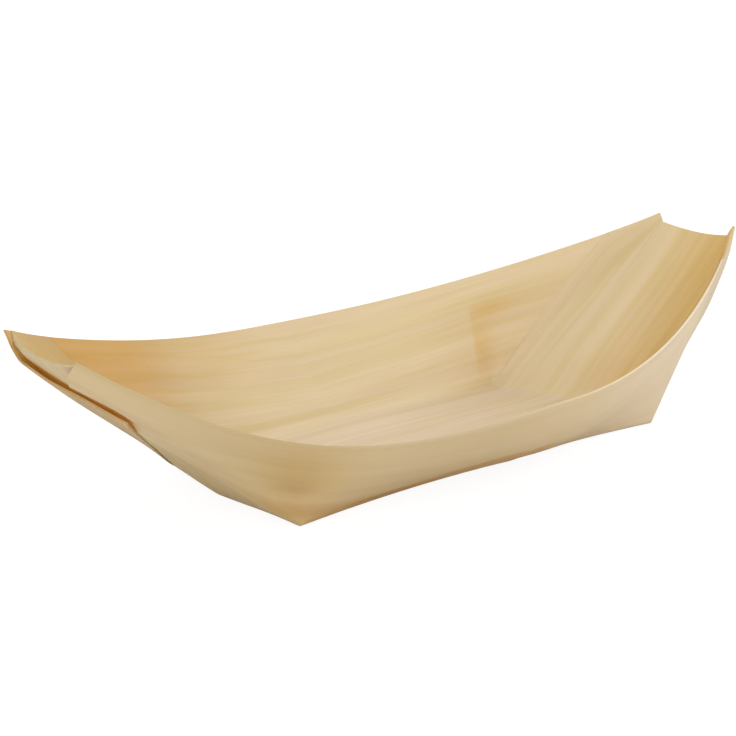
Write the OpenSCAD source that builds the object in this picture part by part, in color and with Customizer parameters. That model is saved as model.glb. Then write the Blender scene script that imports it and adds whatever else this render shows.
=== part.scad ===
// Snack boat folded from a sheet of thin wood veneer.
// The sheet is slit twice at each end. The middle tongue bends up into a sloping end, and the
// two side flaps wrap round the outside of it, one over the other: the far flap is outermost at
// the left end, the near flap at the right end. Millimetres: X along the boat, Y across, Z up.

/* [Overall size] */
// Tip to tip
boat_length = 214; // [190:1:240]
// Rim to rim at mid length
boat_width = 98.9; // [88:0.1:110]
// Height of the tips
tip_height = 43.3; // [38:0.1:50]
// Height of the rims at mid length
rim_height = 22.4; // [18:0.1:28]
// Thickness of the veneer
veneer = 0.5; // [0.4:0.1:0.8]

/* [Base] */
// Slit root to slit root along the boat
base_length = 118; // [105:1:130]
// Slit root to slit root across the boat
base_width = 50.8; // [44:0.1:58]
// How far along the boat the bottom crease stays sharp (low is further)
crease_fade = 0.86; // [0.5:0.02:2]
// Fullness of the rounded middle section
belly = 3.6; // [2.5:0.1:5]
// Half length of the soft bend at the foot of an end
foot_bend = 6; // [3:0.5:8]
// How far the middle of that bend bows outwards
foot_bow = 2.8; // [0:0.1:4]
// Half length of the soft bend of a side wall, at its rim
rim_bend = 13; // [8:1:18]

/* [Ends] */
// Distance between the two tips of an end
tip_gap = 25.9; // [20:0.1:32]
// How far the floor of an end stops short of each tip, sideways
tip_inset = 2; // [1:0.1:3]
// How far it stops below the tips
tip_cut = 4; // [2:0.1:6]
// Rounding where the side turns under the end, as a share of the half section
bilge = 0.1; // [0.04:0.01:0.14]
// Part of the narrowing kept back for the last of the left end
left_curl = 4.3; // [0:0.1:6]
// The same at the right end
right_curl = 2; // [0:0.1:6]
// How far the left end arches up along its slope
left_arch = 1; // [0:0.1:2]

/* [Tongues] */
// How much shorter the left tongue is on its far side
left_slant = 1.8; // [0:0.1:3]
// Sag of the left tongue between its edges
left_sag = 1.4; // [0.4:0.1:2]
// Sag of the right tongue
right_sag = 1; // [0.4:0.1:2]
// How far the top of the left tongue stands up on its near side
left_near_stand = 1.4; // [0:0.1:3]
// The same on its far side
left_far_stand = 2.8; // [0:0.1:3]
// The right tongue on its near side
right_near_stand = 1.1; // [0:0.1:3]
// The right tongue on its far side
right_far_stand = 1.8; // [0:0.1:3]

/* [Lapped flaps] */
// Rise of the loose edge of an outer flap off the tongue
flap_lift = 1.1; // [1:0.1:2]
// Bulge of the near flaps where they turn under the end
near_bulge = 1.3; // [0:0.1:1.5]
// Where the free corner of a flap lies, as a share of the end
flap_corner = 0.7; // [0.62:0.01:0.78]
// How far that corner lies past the middle of the end
flap_past = 10.5; // [7:0.5:12]
// How far the cut end of an outer flap leans in by the time it turns under
flap_slant = 2.4; // [0:0.1:4]

/* [Unevenness of the hand-folded sheet] */
// Far rim above the near rim
lean = 2.4; // [0:0.1:4]
// Twist along the boat
twist = 2; // [0:0.1:3]
// Right end above the left end
end_lift = 1.8; // [0:0.1:3]
// Both rims bowed towards the near side
side_bow = 1.25; // [0:0.05:2]
// How much shorter the base is along its far edge, at its right end
far_slip_right = 6; // [0:0.5:8]
// The same at its left end
far_slip_left = 5; // [0:0.5:8]

/* [Hidden] */
half_len = boat_length / 2;
half_w = boat_width / 2;
root_x = base_length / 2;
root_y = base_width / 2;
end_run = half_len - root_x;
end_rise = tip_height - tip_cut;
floor_end_y = tip_gap / 2 - tip_inset;
crease_v = 0.48;        // place of the bottom crease in the half section, 0 middle to 1 rim
flap_round = 0.05;      // rounding that a flap keeps where it turns under the top of an end
flap_sag = 0.3;         // sag of the flaps under the end
tuck = 0.12;            // share of the end over which the tongue moves in behind the flaps
grip = 0.1;             // depth to which touching layers are joined
lap = 0.4;              // length over which the base runs on into the ends

boat();

// Curves of the sheet

function mix(a, b, t) = a + (b - a) * t;
function clamp(t) = min(1, max(0, t));
function ease(t) = let (c = clamp(t)) c * c * (3 - 2 * c);
function share(x) = min(1, abs(x) / half_len);

// none before a bend and d after it, rounded over w on both sides
function hinge(d, w) = d <= -w ? 0 : d >= w ? d : pow(d + w, 2) / (4 * w);

// strength of the hand-folded unevenness: none at mid length, most over the slit roots
function warp(s) = sin(180 * pow(s, 1.4)) + 0.25 * s * s;

function rim_y(x, side) =
    half_w - (half_w - tip_gap / 2) * pow(share(x), 1.6)
    + side * side_bow * warp(share(x)) * (sign(x) - 1);

function rim_z(x, side) =
    rim_height + (tip_height - rim_height) * pow(share(x), 2.46)
    + warp(share(x)) * (side * lean - side * sign(x) * twist + sign(x) * end_lift);

// the line where a side wall meets the base and, past the slit root, the end
function crease_y(x, e) =
    let (curl = x < 0 ? left_curl : right_curl)
    root_y - (root_y - floor_end_y - curl) * e - curl * pow(clamp(e), 6);
function crease_z(x, e) =
    let (arch = x < 0 ? left_arch : 0)
    (end_rise + arch) * e - arch * pow(e, 3);

// the far slit roots lie closer together than the near ones
function slip(x, side, v) =
    side < 0 ? 0 :
    let (w = v < crease_v ? v / crease_v : (1 - v) / (1 - crease_v))
    exp(-pow((abs(x) - root_x) / 22, 2)) * w * (x > 0 ? -far_slip_right : far_slip_left);

// share of the end reached at x, with the soft bend at its foot
function reached(x, v) =
    let (
        past = abs(x) - root_x,
        half = 1 - pow(min(1, v / crease_v), 2),
        bow = foot_bow * half * (1 - ease(past / 14)),
        soft = v > crease_v ? rim_bend * (v - crease_v) / (1 - crease_v)
            : foot_bend * half * (2 - half)
    )
    hinge(past - bow, max(soft, 0.001)) / end_run;

// outer face of the sheet: x along the boat, u from -1 at the near rim through 0 to 1 at the
// far rim; stand and sag place the tongue, which stands up inside the flaps
function at(x, u, stand = 0, sag = flap_sag) =
    let (
        side = u < 0 ? -1 : 1,
        v = abs(u),
        wall = clamp((v - crease_v) / (1 - crease_v)),
        e = reached(x, v),
        ry = rim_y(x, side),
        rz = rim_z(x, side),
        cz = crease_z(x, e) + stand,
        cy = mix(crease_y(x, e), ry, stand / max(rz - crease_z(x, e), 1)),
        k = hinge(v - crease_v, bilge * sin(180 * clamp(e)) + 0.012
            + (stand > 0 ? 0 : flap_round * pow(clamp(e), 4))),
        g = abs(x) / root_x,
        fold = pow(g - hinge(g - 1, 0.22 * wall + 0.0001), crease_fade),
        drop = sag * clamp(e) * (1 - pow(min(1, v / crease_v), 2)),
        folded_y = v * cy / crease_v + k * ((ry - cy) / (1 - crease_v) - cy / crease_v),
        folded_z = cz - drop + k * (rz - cz) / (1 - crease_v),
        soft_y = ry * v,
        soft_z = rz * pow(v, belly)
    )
    [x + slip(x, side, v),
     side * mix(soft_y, folded_y, fold),
     mix(soft_z, folded_z, fold)];

// the same point moved outwards, square to the sheet
function skin(x, u, out, stand = 0, sag = flap_sag) =
    let (
        xc = min(half_len - 0.2, max(0.2 - half_len, x)),
        uc = min(0.995, max(-0.995, u)),
        n = cross(at(xc + 0.2, uc, stand, sag) - at(xc - 0.2, uc, stand, sag),
            at(xc, uc + 0.005, stand, sag) - at(xc, uc - 0.005, stand, sag))
    )
    at(x, u, stand, sag) - n / norm(n) * out;

// Sheets of veneer

// Closed sheet over the stations xs. cuts(x) lists the limits of its strips from edge to edge,
// counts the number of steps in each strip; inner(x, u) and outer(x, u) place its two faces.
module sheet(xs, cuts, counts, inner, outer) {
    function steps(c) = concat(
        [for (s = [0 : len(counts) - 1], j = [0 : counts[s] - 1]) mix(c[s], c[s + 1], j / counts[s])],
        [c[len(counts)]]);
    rows = [for (x = xs) steps(cuts(x))];
    n = len(xs);
    m = len(rows[0]);
    points = concat(
        [for (i = [0 : n - 1], j = [0 : m - 1]) outer(xs[i], rows[i][j])],
        [for (i = [0 : n - 1], j = [0 : m - 1]) inner(xs[i], rows[i][j])]);
    function id(k, i, j) = k * n * m + i * m + j;
    faces = concat(
        [for (i = [0 : n - 2], j = [0 : m - 2]) [id(0, i, j), id(0, i + 1, j), id(0, i + 1, j + 1)]],
        [for (i = [0 : n - 2], j = [0 : m - 2]) [id(0, i, j), id(0, i + 1, j + 1), id(0, i, j + 1)]],
        [for (i = [0 : n - 2], j = [0 : m - 2]) [id(1, i, j), id(1, i + 1, j + 1), id(1, i + 1, j)]],
        [for (i = [0 : n - 2], j = [0 : m - 2]) [id(1, i, j), id(1, i, j + 1), id(1, i + 1, j + 1)]],
        [for (i = [0 : n - 2]) [id(0, i, 0), id(1, i, 0), id(1, i + 1, 0)]],
        [for (i = [0 : n - 2]) [id(0, i, 0), id(1, i + 1, 0), id(0, i + 1, 0)]],
        [for (i = [0 : n - 2]) [id(0, i, m - 1), id(1, i + 1, m - 1), id(1, i, m - 1)]],
        [for (i = [0 : n - 2]) [id(0, i, m - 1), id(0, i + 1, m - 1), id(1, i + 1, m - 1)]],
        [for (j = [0 : m - 2]) [id(0, 0, j), id(1, 0, j + 1), id(1, 0, j)]],
        [for (j = [0 : m - 2]) [id(0, 0, j), id(0, 0, j + 1), id(1, 0, j + 1)]],
        [for (j = [0 : m - 2]) [id(0, n - 1, j), id(1, n - 1, j), id(1, n - 1, j + 1)]],
        [for (j = [0 : m - 2]) [id(0, n - 1, j), id(1, n - 1, j + 1), id(0, n - 1, j + 1)]]);
    polyhedron(points, faces, convexity = 6);
}

// stations at the listed shares of one end, in order along +X
function end_stations(to, stops) =
    let (list = [for (s = stops) to * (root_x + end_run * s)])
    to > 0 ? list : [for (i = [len(list) - 1 : -1 : 0]) list[i]];

function share_of_end(x) = clamp((abs(x) - root_x) / end_run);

// limits in order from the near rim to the far rim, whichever side they are given for
function ordered(list, side) =
    side > 0 ? list : [for (i = [len(list) - 1 : -1 : 0]) -list[i]];

// base and side walls between the slit roots
module body() {
    reach = root_x + lap;
    sheet([for (i = [-19 : 19]) reach * sin(84 * i / 19) / sin(84)],
        function(x) [-1, -crease_v, crease_v, 1], [8, 8, 8],
        function(x, u) skin(x, u, -veneer),
        function(x, u) skin(x, u, 0));
}

// Middle tongue of one end. It keeps the width of the base, so where the end narrows its
// edges climb the side walls until they reach the rims.
module tongue(to) {
    near_stand = to < 0 ? left_near_stand : right_near_stand;
    far_stand = to < 0 ? left_far_stand : right_far_stand;
    sag = to < 0 ? left_sag : right_sag;
    slant = to < 0 ? left_slant : 0;
    function farther(u) = ease(u / crease_v / 2 + 0.5);
    function stand(x, u) = mix(near_stand, far_stand, farther(u)) * pow(share_of_end(x), 8);
    function leaned(x, u) = x - to * slant * farther(u) * pow(share_of_end(x), 2);
    function climb(x, side) =
        let (
            e = share_of_end(x),
            dy = rim_y(x, side) - crease_y(x, e),
            dz = rim_z(x, side) - crease_z(x, e),
            spare = root_y + 3.5 * sin(180 * e) - crease_y(x, e)
        )
        min(1, crease_v + 0.02 + spare / norm([dy, dz]) * (1 - crease_v));
    function tucked(x) = veneer * ease(share_of_end(x) / tuck);
    sheet(end_stations(to, [0, 0.02, 0.05, 0.08, 0.12, 0.16, 0.21, 0.27, 0.34, 0.41, 0.48, 0.55,
                            0.62, 0.69, 0.76, 0.82, 0.87, 0.92, 0.96, 1]),
        function(x) [-climb(x, -1), -crease_v, crease_v, climb(x, 1)], [4, 8, 4],
        function(x, u) skin(leaned(x, u), u, -veneer - tucked(x), stand(x, u), sag),
        function(x, u) skin(leaned(x, u), u, -tucked(x), stand(x, u), sag));
}

// A side wall carried on past the slit root and round onto the outside of the tongue. Its slit
// edge runs from the root to the free corner, its cut end from there back up to the tip.
module flap(to, side) {
    outermost = side == -to;
    slant = outermost ? flap_slant : 0;
    lift = outermost ? flap_lift : 0;
    bulge = side < 0 ? near_bulge : 0;
    stops = [0, 0.03, 0.07, 0.12, 0.17, 0.23, 0.3, 0.37, 0.44, 0.51, 0.58, 0.64,
             flap_corner, 0.76, 0.82, 0.87, 0.92, 0.96, 1];
    function edge_y(e) =
        e < flap_corner ? mix(root_y, -flap_past, e / flap_corner)
        : mix(-flap_past, floor_end_y, (e - flap_corner) / (1 - flap_corner));
    function edge(x) =
        let (e = share_of_end(x))
        min(edge_y(e) / crease_y(x, e) * crease_v, crease_v - 0.015);
    function up_wall(u) = clamp((abs(u) - crease_v) / (1 - crease_v));
    function under(u) = max(0, 1 - side * u / crease_v);
    function off(x, u) =
        let (e = share_of_end(x), v = side * u)
        lift * ease((e - 0.35) / 0.35) * (ease(under(u) / 0.8) + 0.4 * ease((under(u) - 1) / 0.6))
        + bulge * ease((e - 0.3) / 0.35) * (1 - ease(under(u) / 0.5))
            * (1 - ease((v - crease_v - 0.05) / 0.42));
    function leaned(x, u) =
        x - to * slant * pow(share_of_end(x), 4) * (side * u > crease_v ? 1 - up_wall(u) : 1);
    sheet(end_stations(to, stops),
        function(x) ordered([edge(x), crease_v, 1], side), side > 0 ? [9, 6] : [6, 9],
        function(x, u) skin(leaned(x, u), u, off(x, u) - veneer - grip),
        function(x, u) skin(leaned(x, u), u, off(x, u)));
}

module end(to) {
    tongue(to);
    flap(to, -1);
    flap(to, 1);
}

module boat() {
    color("BurlyWood")
        union() {
            body();
            end(-1);
            end(1);
        }
}
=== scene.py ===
import math
import bpy
import numpy as np
from mathutils import Matrix


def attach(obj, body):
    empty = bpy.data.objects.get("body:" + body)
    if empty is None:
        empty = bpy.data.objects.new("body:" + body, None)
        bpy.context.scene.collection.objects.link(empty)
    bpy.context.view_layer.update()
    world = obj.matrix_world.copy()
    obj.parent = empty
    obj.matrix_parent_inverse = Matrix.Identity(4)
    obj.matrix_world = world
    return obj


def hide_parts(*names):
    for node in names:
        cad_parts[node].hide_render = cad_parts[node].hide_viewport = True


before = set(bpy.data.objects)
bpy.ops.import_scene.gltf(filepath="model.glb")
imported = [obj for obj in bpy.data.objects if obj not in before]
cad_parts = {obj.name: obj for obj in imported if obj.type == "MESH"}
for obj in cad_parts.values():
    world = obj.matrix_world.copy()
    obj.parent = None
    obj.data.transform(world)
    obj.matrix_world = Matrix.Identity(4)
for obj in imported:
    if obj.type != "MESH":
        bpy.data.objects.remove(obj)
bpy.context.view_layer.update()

# Camera
# In front of the boat and to its left, a little above it, with the right end furthest away.
# Square picture, long lens; the middle of the picture lies a little beside the boat's origin.
view_from, view_up, view_roll = math.radians(-42.817), math.radians(14.861), math.radians(0.552)
back = np.array([math.sin(view_from) * math.cos(view_up),
                 -math.cos(view_from) * math.cos(view_up), math.sin(view_up)])
level = np.array([math.cos(view_from), math.sin(view_from), 0.0])
above = np.cross(back, level)
right = math.cos(view_roll) * level + math.sin(view_roll) * above
up = math.cos(view_roll) * above - math.sin(view_roll) * level
distance, beside, over = 0.45276, -0.011777, 0.019152
spot = distance * back + beside * right + over * up
lens = bpy.data.cameras.new("camera")
lens.lens, lens.sensor_width = 90.61, 36.0
lens.clip_start, lens.clip_end = 0.01, 20.0
camera = bpy.data.objects.new("camera", lens)
camera.matrix_world = Matrix([[*row, p] for row, p in zip(np.column_stack([right, up, back]), spot)]
                             + [[0, 0, 0, 1]])
bpy.context.scene.collection.objects.link(camera)
bpy.context.scene.camera = camera

# Light and floor
# A white table in a bright tent: nearly even light from all round, a soft lamp in front and a much
# fainter one above and behind. The table shows white to the camera and keeps a faint shadow.
world = bpy.data.worlds.new("tent")
bpy.context.scene.world = world
world.use_nodes = True


class Socket:
    # A shader socket that Python's arithmetic can be written with.
    def __init__(self, tree, link):
        self.tree, self.link = tree, link

    def add(self, kind, settings=(), **values):
        node = self.tree.nodes.new(kind)
        for name, value in dict(settings).items():
            setattr(node, name, value)
        for name, value in values.items():
            self.feed(node, name, value)
        return node

    def feed(self, node, name, value):
        socket = node.inputs[int(name[1:])] if name[0] == "i" and name[1:].isdigit() \
            else node.inputs[name.replace("_", " ")]
        if isinstance(value, Socket):
            self.tree.links.new(value.link, socket)
        else:
            socket.default_value = value

    def maths(self, operation, *values):
        node = self.add("ShaderNodeMath", {"operation": operation},
                        **{f"i{k}": v for k, v in enumerate(values)})
        return Socket(self.tree, node.outputs[0])

    def __add__(self, other): return self.maths("ADD", self, other)
    def __radd__(self, other): return self.maths("ADD", other, self)
    def __sub__(self, other): return self.maths("SUBTRACT", self, other)
    def __rsub__(self, other): return self.maths("SUBTRACT", other, self)
    def __mul__(self, other): return self.maths("MULTIPLY", self, other)
    def __rmul__(self, other): return self.maths("MULTIPLY", other, self)
    def __pow__(self, other): return self.maths("POWER", self, other)


tree = world.node_tree
tree.nodes.clear()
sky = Socket(tree, None)
path = sky.add("ShaderNodeLightPath")
seen = sky.maths("MAXIMUM", Socket(tree, path.outputs["Is Camera Ray"]),
                 sky.maths("MAXIMUM", Socket(tree, path.outputs["Is Glossy Ray"]),
                           Socket(tree, path.outputs["Is Transmission Ray"])))
tent_light, more_where_seen = 0.98, 0.02
tent = sky.add("ShaderNodeBackground", Color=(1, 1, 1, 1),
               Strength=seen * more_where_seen + tent_light)
sky.add("ShaderNodeOutputWorld", Surface=Socket(tree, tent.outputs[0]))

# name, place, width in metres, power in watts
for name, place, size, power in (("overhead", (0.25, 0.35, 0.9), 0.9, 0.2),
                                 ("front", (0.15, -0.95, 0.45), 0.8, 0.9)):
    lamp = bpy.data.lights.new(name, "AREA")
    lamp.shape, lamp.size, lamp.energy = "DISK", size, power
    lamp_object = bpy.data.objects.new(name, lamp)
    away = np.array(place) / np.linalg.norm(place)
    side = np.cross((0, 0, 1), away)
    side = side / np.linalg.norm(side)
    lamp_object.matrix_world = Matrix([[*row, p] for row, p in zip(
        np.column_stack([side, np.cross(away, side), away]), place)] + [[0, 0, 0, 1]])
    bpy.context.scene.collection.objects.link(lamp_object)

bpy.ops.object.select_all(action="DESELECT")
table_width, hair_gap = 6, 0.0001
bpy.ops.mesh.primitive_plane_add(size=table_width, location=(0, 0, -hair_gap))
table = bpy.context.object
table.name = "table"
bpy.ops.object.transform_apply(location=True)
paper = bpy.data.materials.new("white_table")
paper.use_nodes = True
paper.node_tree.nodes.clear()
white = Socket(paper.node_tree, None)
path = white.add("ShaderNodeLightPath")
lit = white.add("ShaderNodeBsdfDiffuse", Color=(0.85, 0.85, 0.85, 1))
glow = white.add("ShaderNodeEmission", Color=(1, 1, 1, 1), Strength=1.15)
glow_share = 0.8
mixed = white.add("ShaderNodeMixShader",
                  Fac=Socket(paper.node_tree, path.outputs["Is Camera Ray"]) * glow_share,
                  i1=Socket(paper.node_tree, lit.outputs[0]), i2=Socket(paper.node_tree, glow.outputs[0]))
white.add("ShaderNodeOutputMaterial", Surface=Socket(paper.node_tree, mixed.outputs[0]))
table.data.materials.append(paper)

# Veneer sheet
# One rectangle of rotary-cut veneer, grain along it, slit twice at each end. The middle tongue
# of an end is bent up, and the two side flaps are wrapped round the outside of it.
veneer = 0.0005
half_length, half_width = 0.107, 0.04944
root_x, root_y = 0.059, 0.02539          # where the slits stop
tip_y, tip_height, rim_height = 0.01295, 0.04324, 0.02236
rim_taper, rim_climb = 1.595, 2.464      # powers: how late the rims draw in and rise
crease = 0.48                            # place of the bottom crease: 0 middle, 1 rim
end_run = half_length - root_x


def smooth(t):
    t = np.clip(t, 0, 1)
    return t * t * (3 - 2 * t)


def hinge(d, w):
    # 0 before a bend and d after it, rounded over w on both sides.
    w = np.maximum(w, 1e-9)
    return np.where(d < -w, 0, np.where(d > w, d, (d + w) ** 2 / (4 * w)))


def unevenness(x):
    # 0 at mid-length, most at two thirds of the way to a tip.
    s = np.minimum(np.abs(x) / half_length, 1)
    return np.sin(np.pi * s ** 1.4) + 0.25 * s * s


def rim(x, side):
    # Half width and height of a side wall's rim. The four quarters of a real boat differ a little:
    # out and up by so much, after the side, the end, or both.
    out_by_side, out_by_end = -0.00122, 0.00129
    up_by_side, up_by_end, up_by_corner = 0.00243, 0.00176, -0.00203
    s, w, to = np.abs(x) / half_length, unevenness(x), np.sign(x)
    y = half_width - (half_width - tip_y) * s ** rim_taper + side * w * (out_by_end * to + out_by_side)
    z = rim_height + (tip_height - rim_height) * s ** rim_climb \
        + w * (up_by_side * side + up_by_corner * side * to + up_by_end * to)
    return y, z


def crease_line(x, side, e):
    # Where a side wall meets the base and, past the slit root, the end.
    left = x < 0
    top_y, dip = 0.01093, np.where(left, 0.0010, 0.0)
    top_z, curl = np.where(left, 0.0402, 0.0393), np.where(left, 0.0043, 0.002)
    y = root_y - (root_y - top_y - curl) * e - curl * np.clip(e, 0, 1) ** 6
    return y, top_z * e - dip * e ** 3


def outside(x, u, raised=0.0):
    # Outer face of the folded sheet: x along the boat, u from -1 at the near rim to 1 at the far.
    # raised: height by which the tongue stands above the flaps round it.
    side, v = np.where(u < 0, -1.0, 1.0), np.abs(u)
    t = np.clip((v - crease) / (1 - crease), 0, 1)

    # the bend at the slit roots: its roundness, and how far it bows towards the tip
    tongue_round, flap_round, bow, bow_length = 0.006, 0.013, 0.0028, 0.014
    bend = np.where(v > crease, flap_round * t, tongue_round * (1 - (v / crease) ** 4))
    past = np.abs(x) - root_x
    bowed = np.where(v > crease, 0, bow * (1 - (v / crease) ** 2)) * (1 - smooth(past / bow_length))
    e = hinge(past - bowed, bend) / end_run
    (ry, rz), (cy, cz) = rim(x, side), crease_line(x, side, e)
    cy, cz = cy + raised * (ry - cy) / np.maximum(rz - cz, 1e-3), cz + raised
    full = np.clip(e, 0, 1)

    # the crease: none at mid-length, full at the slit roots, softest in the middle of an end
    fold_round, fold_growth = 0.22, 0.863
    g = np.abs(x) / root_x
    fold = (g - hinge(g - 1, fold_round * t)) ** fold_growth
    root_soft, middle_soft, end_soft, flap_tip_soft = 0.012, 0.16, 0.1, 0.05
    k = hinge(v - crease, end_soft * np.sin(np.pi * full) + root_soft
              + middle_soft * np.clip(1 - fold, 0, 1) ** 2
              + np.where(raised > 0, 0, flap_tip_soft * full ** 4))

    # a tongue hangs through a little, the flaps under it hardly
    left_sag, right_sag, flap_sag = 0.0014, 0.0010, 0.0003
    sag = np.where(raised > 0, np.where(x < 0, left_sag, right_sag), flap_sag) * full ** 1.5 \
        * (1 - np.minimum(v / crease, 1) ** 2)
    y = (1 - fold) * ry * v + fold * (v * cy / crease + k * ((ry - cy) / (1 - crease) - cy / crease))

    # flat in the middle and rising ever steeper to the rim, more so on the near side at the right
    steepness, right_more, right_run = 3.85, 1.4, 0.025
    belly = steepness + right_more * smooth(x / right_run) * (side < 0)
    z = (1 - fold) * rz * v ** belly + fold * (cz - sag + k * (rz - cz) / (1 - crease))

    # the far slits run a little further in than the near ones
    slip_right, slip_left, slip_reach = -0.00594, 0.00501, 0.022
    slip = np.exp(-((np.abs(x) - root_x) / slip_reach) ** 2) \
        * np.where(v < crease, v / crease, (1 - v) / (1 - crease))
    x = x + np.where(side > 0, slip * np.where(x > 0, slip_right, slip_left), 0)
    return np.stack([x, side * y, z], -1)


def off_face(x, u, off, raised):
    # The same point moved square to the sheet, outwards where off is positive.
    dx, du = 2e-4, 0.005
    xc, uc = np.clip(x, -half_length + dx, half_length - dx), np.clip(u, du - 1, 1 - du)
    n = np.cross(outside(xc + dx, uc, raised) - outside(xc - dx, uc, raised),
                 outside(xc, uc + du, raised) - outside(xc, uc - du, raised))
    n = n / np.linalg.norm(n, axis=-1, keepdims=True)
    return outside(x, u, raised) - n * np.expand_dims(off, -1)


def steps(*limits):
    # Limits and counts in turn, such as 0, 10, 1: ten steps from 0 to 1.
    out = [np.linspace(limits[k], limits[k + 2], limits[k + 1] + 1)[:-1]
           for k in range(0, len(limits) - 1, 2)]
    return np.concatenate(out + [[limits[-1]]])


def bend_blank(name, x, u, off, along, across, raised=0.0, layer=0.0):
    # Lays a flat grid and bends it: the tables have one row for each station along x.
    # layer: 1 on a tongue, 2 on the outermost flap of an end, 0 on the rest of the sheet.
    bpy.ops.object.select_all(action="DESELECT")
    rows, columns = x.shape
    bpy.ops.mesh.primitive_grid_add(x_subdivisions=rows - 1, y_subdivisions=columns - 1, size=2)
    blank = bpy.context.object
    blank.name = name
    mesh = blank.data
    flat = np.empty(len(mesh.vertices) * 3, np.float32)
    mesh.vertices.foreach_get("co", flat)
    flat = flat.reshape(-1, 3)
    i = np.rint((flat[:, 0] + 1) / 2 * (rows - 1)).astype(int)
    j = np.rint((flat[:, 1] + 1) / 2 * (columns - 1)).astype(int)
    mesh.vertices.foreach_set("co", off_face(x, u, off, raised)[i, j].astype(np.float32).ravel())
    corner = np.empty(len(mesh.loops), np.int32)
    mesh.loops.foreach_get("vertex_index", corner)
    laid = np.stack([along[i, j], across[i, j]], -1)[corner]
    mesh.uv_layers[0].data.foreach_set("uv", laid.astype(np.float32).ravel())
    mesh.uv_layers[0].name = "blank"
    mesh.attributes.new("layer", "FLOAT", "POINT").data.foreach_set(
        "value", np.full(len(mesh.vertices), layer, np.float32))
    mesh.update()
    return blank


def station_lengths(x, u):
    # Length of the sheet across each station, measured from its first column.
    p = outside(x, u)
    d = np.linalg.norm(np.diff(p, axis=1), axis=2)
    return np.concatenate([np.zeros((len(d), 1)), np.cumsum(d, 1)], 1)


# columns from the middle to a rim, closest together at the crease
half_u = steps(0, 16, 0.42, 12, 0.54, 24, 1)
full_u = np.concatenate([-half_u[:0:-1], half_u])
wall_width, middle_rows = 0.0277, 121

# base and side walls between the slit roots; the rows close up towards the slits
rows = root_x * np.sin(np.pi / 2 * np.linspace(-1, 1, middle_rows))
x, u = np.meshgrid(rows, full_u, indexing="ij")
across = np.sign(u) * np.where(np.abs(u) < crease, np.abs(u) / crease * root_y,
                               root_y + (np.abs(u) - crease) / (1 - crease) * wall_width)
parts = [bend_blank("middle", x, u, np.zeros_like(x), x, across)]

# Past the slit roots, e runs from 0 at the root to 1 at the tip.
# on the flat sheet: a tongue's length, and how much further its flaps run than the folded end
tongue_length, flap_stretch = 0.0614, 1.2

# a tongue's corners stand above the flaps at the tip, after the end and the side
tip_stand = {(-1, -1): 0.0014, (-1, 1): 0.0028, (1, -1): 0.0011, (1, 1): 0.0018}
left_lean, edge_bulge, edge_columns = 0.0018, 0.0035, 8

# a flap's corner is taken off from here on, and the outer flap's end is cut at a slant
corner_e, corner_y, turn_columns = 0.70, -0.0105, 30
cut_slant, cut_bulge, bulge_width = 0.05, 0.035, 0.13

# the outer flap rides over the other, and the near flap bulges at its crease
over_layer, over_from, near_bulge, bulge_from, lift_run = 0.0011, 0.35, 0.0013, 0.3, 0.35

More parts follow.
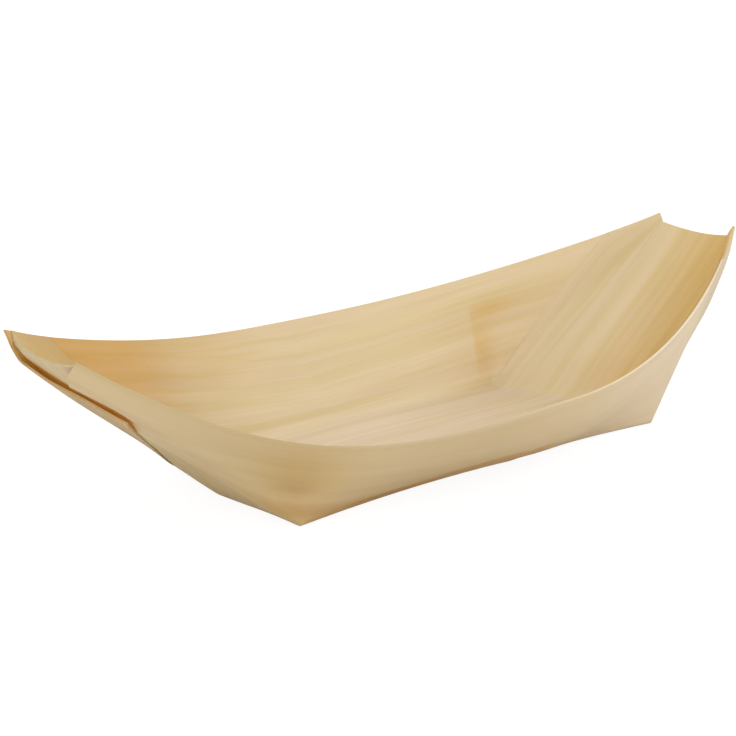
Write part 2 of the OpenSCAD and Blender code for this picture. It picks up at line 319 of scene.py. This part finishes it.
for to in (-1, 1):
    # the tongue, inside the flaps; its edges climb the side walls where the end narrows
    e = steps(0, 14, 0.12, 44, 1)
    core = full_u[np.abs(full_u) <= crease + 1e-9]
    x = np.repeat((to * (root_x + end_run * e))[:, None], len(core) + 2 * edge_columns, 1)
    lean = left_lean * (to < 0) * e[:, None] ** 2
    reach, stand = {}, {}
    for side in (-1, 1):
        ry, rz = rim(x[:, 0], side)
        cy, cz = crease_line(x[:, 0], side, e)
        stand[side] = tip_stand[to, side] * e ** 8
        spare = root_y + edge_bulge * np.sin(np.pi * e) - cy
        room = np.hypot(ry - cy, rz - cz)
        reach[side] = np.minimum(1, spare / room) * (1 - crease)
    edge = np.linspace(1, 0, edge_columns + 1)[:-1]
    u = np.concatenate([-(crease + reach[-1][:, None] * edge), np.repeat(core[None], len(e), 0),
                        crease + reach[1][:, None] * edge[::-1]], 1)
    mid = smooth(u / crease / 2 + 0.5)
    raised = np.maximum(stand[-1][:, None] * (1 - mid) + stand[1][:, None] * mid, 1e-9)
    width = np.where(u < 0, reach[-1][:, None], reach[1][:, None]) + 1e-9
    floor_y = crease_line(x, 1, e[:, None])[0]
    across = np.where(np.abs(u) <= crease, u / crease * floor_y,
                      np.sign(u) * (floor_y + (np.abs(u) - crease) / width * (root_y - floor_y)))
    along = to * (root_x + tongue_length * e)[:, None] + 0 * u

    # the tongue lies one veneer inwards, and its edges are pressed out against the walls
    inwards_run, press_from, press_run, pressed_by = 0.12, 0.22, 0.15, 0.85 * veneer
    pressed = smooth((e - press_from) / press_run)[:, None] \
        * np.clip((np.abs(u) - crease) / width, 0, 1) ** 2
    off = -veneer * smooth(e / inwards_run)[:, None] + pressed_by * pressed
    parts.append(bend_blank("tongue", x + lean * mid, u, off, along, across, raised, 1.0))

    for side in (-1, 1):
        # a side wall carried on past the slit root and round onto the tongue
        outer = side == -to
        e = steps(0, 10, 0.1, 24, corner_e, 6, 0.8, 14, 1)
        wall = half_u[half_u >= crease - 1e-9][::-1]
        cy, cz = crease_line(to * (root_x + end_run * e), side, e)
        edge_y = np.where(e < corner_e, root_y + (corner_y - root_y) * e / corner_e,
                          corner_y + (cy[-1] - corner_y) * (e - corner_e) / (1 - corner_e))
        edge_u = np.minimum(edge_y / cy * crease, crease)
        turn = np.linspace(0, 1, turn_columns + 1)[1:]
        u = np.concatenate([np.repeat(wall[None], len(e), 0),
                            crease + (edge_u[:, None] - crease) * turn], 1)
        w = np.clip((crease - u) / crease, 0, None)
        up_wall = np.maximum(u - crease, 0) / (1 - crease)
        slant = outer * e[:, None] ** 4 * (cut_slant * (1 - up_wall)
                                           + cut_bulge * np.exp(-((u - crease) / bulge_width) ** 2))
        x = to * (root_x + end_run * (e[:, None] - slant))
        e = e[:, None]

        lift = outer * over_layer * smooth((e - over_from) / lift_run) \
            * (smooth(w / 0.8) + 0.4 * smooth((w - 1) / 0.6))
        if side < 0:
            lift = lift + near_bulge * smooth((e - bulge_from) / lift_run) * (1 - smooth(w / 0.5)) \
                * (1 - np.clip(up_wall, 0, 1))
        length = station_lengths(x, side * u)
        across = side * (root_y + wall_width * (1 - length / length[0, len(wall) - 1]))
        along = to * (root_x + flap_stretch * (np.abs(x) - root_x))
        parts.append(bend_blank("flap", x, side * u, lift, along, across, layer=2.0 * outer))

bpy.ops.object.select_all(action="DESELECT")
for part in parts:
    part.select_set(True)
boat = parts[0]
bpy.context.view_layer.objects.active = boat
bpy.ops.object.join()
boat.name = boat.data.name = "veneer_boat"
bpy.ops.object.mode_set(mode="EDIT")
bpy.ops.mesh.select_all(action="SELECT")
bpy.ops.mesh.remove_doubles(threshold=1e-6)
bpy.ops.mesh.normals_make_consistent(inside=False)
bpy.ops.object.mode_set(mode="OBJECT")
base_face = min(boat.data.polygons, key=lambda face: face.center.xy.length)
if base_face.normal.z > 0:
    boat.data.flip_normals()

inside_slot, edge_slot = 1, 2            # the outer face keeps slot 0
thickness = boat.modifiers.new("thickness", "SOLIDIFY")
thickness.thickness, thickness.offset = veneer, -1
thickness.material_offset, thickness.material_offset_rim = inside_slot, edge_slot

# Bare veneer, its inner face and its cut edges
# Pale poplar with a straight lengthwise grain, with painted shade and glow in amber towards the left tip
# and painted light on the base.
# Light comes through the thin left lap. The cut edges are paler than the faces, partly the cut wood's own
# colour and partly a painted highlight where they catch the light; least so at the left.
wood = bpy.data.materials.new("veneer_face")
wood.use_nodes = True
tree = wood.node_tree
tree.nodes.clear()
grain = Socket(tree, None)
laid = grain.add("ShaderNodeUVMap", {"uv_map": "blank"})
apart = grain.add("ShaderNodeSeparateXYZ", Vector=Socket(tree, laid.outputs[0]))
along, across = Socket(tree, apart.outputs[0]), Socket(tree, apart.outputs[1])


def noise(a, b, detail, rough, distortion, offset):
    # Waves a to the metre along the grain and b across it.
    place = grain.add("ShaderNodeCombineXYZ", X=along * a, Y=across * b, Z=offset)
    node = grain.add("ShaderNodeTexNoise", {"noise_dimensions": "3D"},
                     Vector=Socket(tree, place.outputs[0]), Scale=1.0,
                     Detail=detail, Roughness=rough, Distortion=distortion)
    return Socket(tree, node.outputs[0])


def rising(value, low, high):
    # 0 below low and 1 above high, eased between; the other way round where high is the smaller.
    node = grain.add("ShaderNodeMapRange", {"interpolation_type": "SMOOTHSTEP"},
                     Value=value, From_Min=low, From_Max=high)
    return Socket(tree, node.outputs[0])


def patch(a, b, length, width):
    # A soft round spot on the flat sheet, in millimetres.
    off = ((along - a / 1000) * (1000 / length)) ** 2 + ((across - b / 1000) * (1000 / width)) ** 2
    return grain.maths("EXPONENT", off * -1.0)


def tinted(colour, tint, amount, name=""):
    # The colour times the tint, by so much. A name marks a tint that the copied finishes change.
    node = grain.add("ShaderNodeMix",
                     {"data_type": "RGBA", "blend_type": "MULTIPLY", "clamp_factor": True},
                     i0=amount, i6=colour, i7=(*tint, 1))
    node.name = name or node.name
    return Socket(tree, node.outputs[2])


bands = noise(6, 240, 3, 0.55, 0.3, 1.0)
fine = noise(25, 1500, 3, 0.6, 0.0, 5.0)
broad = noise(9, 45, 2, 0.5, 0.4, 9.0)
streaks = noise(15, 430, 2, 0.5, 0.6, 14.0)

# where on the sheet: which piece of it, and which end or edge
layer = Socket(tree, grain.add("ShaderNodeAttribute", {"attribute_name": "layer"}).outputs["Fac"])
tongue, lapped = rising(layer, 0.5, 0.9) * rising(layer, 1.5, 1.1), rising(layer, 1.5, 1.9)
near_wall, far_wall = rising(across, -0.022, -0.030), rising(across, 0.022, 0.030)
base = (1 - near_wall) * (1 - far_wall)
left_end, right_end = rising(along, -0.040, -0.070), rising(along, 0.056, 0.070)
near_edge = tongue * right_end * rising(across, 0.012, -0.020)
turned = left_end * (1 - tongue) * (1 - far_wall) * rising(across, -0.041, -0.031)
lap = lapped * rising(along, -0.080, -0.092) * rising(across, 0.047, 0.038)

calmer = tongue * 0.35 + near_wall * 0.4
tone = ((bands - 0.5) * 0.45 + (fine - 0.5) * 0.3 + (broad - 0.5) * 0.3) * (1 - calmer) + 0.5
ramp = grain.add("ShaderNodeValToRGB", Fac=tone)
stops = ramp.color_ramp.elements
stops[0].position, stops[0].color = 0.2, (0.66, 0.482, 0.255, 1)
stops[1].position, stops[1].color = 0.8, (0.865, 0.725, 0.485, 1)

# amber: painted shade and glow in yellow-brown inside the left end, in the corner along the right
# tongue's near edge, low on the near wall and by the slit roots, and a touch of warmer wood over the near
# wall
amber_tone_and_painted_shade = rising(across, 0.037, 0.050) * (1 - lap) \
    * (left_end * 0.65 + (1 - left_end) * rising(along, 0.0, -0.040) * 0.35) \
    + near_wall * rising(across, -0.035, -0.028) * rising(along, 0.045, 0.0) * 0.4 \
    + tongue * rising(across, 0.012, 0.022) * left_end * 0.55 \
    + patch(-65, -40, 13, 12) * 0.45 \
    + near_wall * left_end * rising(across, -0.036, -0.046) * 0.12 + near_wall * 0.04 \
    + near_edge + tongue * rising(along, 0.085, 0.108) * rising(across, 0.014, 0.002) * 0.2 \
    + rising(along, 0.0530, 0.0545) * (patch(60, 44.5, 9, 1.8) * 0.7 + patch(55.5, 36, 5, 6) * 0.6)

# painted light: lighter where more light falls, on the near wall at the right, the far wall away from the
# left tip, the base, the right tongue's far part, and what turns up at the left over the bright table
# below
painted_light = near_wall * rising(along, -0.02, 0.05) * rising(along, 0.095, 0.075) \
    + far_wall * (rising(along, -0.045, -0.020) * 0.45 + rising(along, 0.0, 0.045) * 0.35) \
    + base * (1 - left_end) * rising(along, 0.050, 0.0) * 0.45 \
    + tongue * right_end * rising(across, -0.012, 0.006) * 0.35 \
    + turned

# painted shade in greyish brown: in the corner along the right tongue's near edge, low on the near wall
# where it turns under, and at its left corner
painted_shade = near_edge * rising(across, -0.0145, -0.0225) * rising(along, 0.116, 0.100) * 0.8 \
    + near_edge * 0.12 \
    + near_edge * rising(across, -0.008, -0.020) * rising(along, 0.095, 0.080) * 0.4 \
    + near_wall * rising(across, -0.0325, -0.029) * rising(along, -0.0590, -0.050) \
    * rising(along, 0.03, 0.0) * 0.2 \
    + patch(-64, -38, 5, 1.3) * 0.45 + patch(-60, -30.5, 9, 3) * 0.7

# painted shade: a thin brown line along the curve that the near wall stands on, where it turns under
# towards the table
below = across + 0.0258 + patch(0, 0, 36, 1e6) * 0.0140
painted_edge_shade = near_wall * rising(below, -0.0012, 0.0002) * rising(below, 0.008, 0.003) \
    * rising(along, -0.0590, -0.057) * rising(along, 0.03, 0.0) * 0.8

colour = Socket(tree, ramp.outputs[0])
for tint, amount in (((0.94, 0.95, 0.78), rising(streaks, 0.40, 0.66) * (0.8 - near_wall * 0.4)),
                     ((0.95, 0.80, 0.45), amber_tone_and_painted_shade),
                     ((1.12, 1.14, 1.2), painted_light),
                     # painted light: the near wall's right part cooler and bluer, as lit from the right
                     # front
                     ((1.0, 1.03, 1.14), near_wall * rising(along, 0.0, 0.05)),
                     ((0.99, 0.99, 1.11), base * (1 - tongue) * rising(along, -0.058, -0.030)),
                     ((0.80, 0.66, 0.55), painted_shade),
                     ((0.88, 0.68, 0.44), painted_edge_shade),
                     # painted shade on the near wall round its left corner, which faces away from the
                     # light
                     ((0.85, 0.81, 0.72), patch(-76, -47, 14, 8) * 0.4 + patch(-65, -40, 9, 11) * 0.8)):
    colour = tinted(colour, tint, amount)
# the lap painted paler and cooler on its outer face, as lit; the inner face's copy paints it orange
colour = tinted(colour, (1.08, 1.16, 1.14), lap, "inside of lap")
colour = tinted(colour, (1.0, 1.0, 1.0), rising(along, 0.02, -0.03), "left half")

bump = grain.add("ShaderNodeBump", Height=fine * 0.6 + bands * 0.4, Strength=0.25, Distance=0.0002)
relief = Socket(tree, bump.outputs[0])
surface = grain.add("ShaderNodeBsdfPrincipled", Base_Color=colour, Roughness=0.62, Normal=relief)
through = grain.add("ShaderNodeBsdfTranslucent", Color=(0.91, 0.65, 0.26, 1), Normal=relief)

# how much light comes through: little, except at the left end's far flap and in the lap
lap_light = lap * 0.3
lap_light.link.node.name = "light through lap"
through_share = left_end * rising(across, 0.012, 0.016) * far_wall * (1 - lap) * 0.3 \
    + lap_light + 0.10
both = grain.add("ShaderNodeMixShader", Fac=through_share,
                 i1=Socket(tree, surface.outputs[0]), i2=Socket(tree, through.outputs[0]))
grain.add("ShaderNodeOutputMaterial", Surface=Socket(tree, both.outputs[0]))


def retinted(finish, name, tint):
    # Gives a copied finish a tint of its own: input 7 is the Mix node's second colour.
    finish.node_tree.nodes[name].inputs[7].default_value = (*tint, 1)


inside = wood.copy()
inside.name = "veneer_inside"
# painted glow and shade: the inner face of the lap painted orange, for the orange glow and shade in the
# gap between the flaps
retinted(inside, "inside of lap", (1.15, 0.66, 0.22))
inside.node_tree.nodes["light through lap"].inputs[1].default_value = 0.85

cut = wood.copy()
cut.name = "veneer_edge"
edge_stops = cut.node_tree.nodes[ramp.name].color_ramp.elements
edge_stops[0].color, edge_stops[1].color = (0.74, 0.58, 0.36, 1), (0.93, 0.80, 0.58, 1)
retinted(cut, "left half", (0.76, 0.74, 0.66))
boat.data.materials.clear()
for finish in (wood, inside, cut):
    boat.data.materials.append(finish)

bpy.ops.object.select_all(action="DESELECT")
boat.select_set(True)
bpy.context.view_layer.objects.active = boat
bpy.ops.object.modifier_apply(modifier="thickness")
bpy.ops.object.shade_smooth_by_angle(angle=math.radians(38))

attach(boat, "root")
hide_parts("boat")

bpy.context.scene.view_settings.view_transform = "Standard"
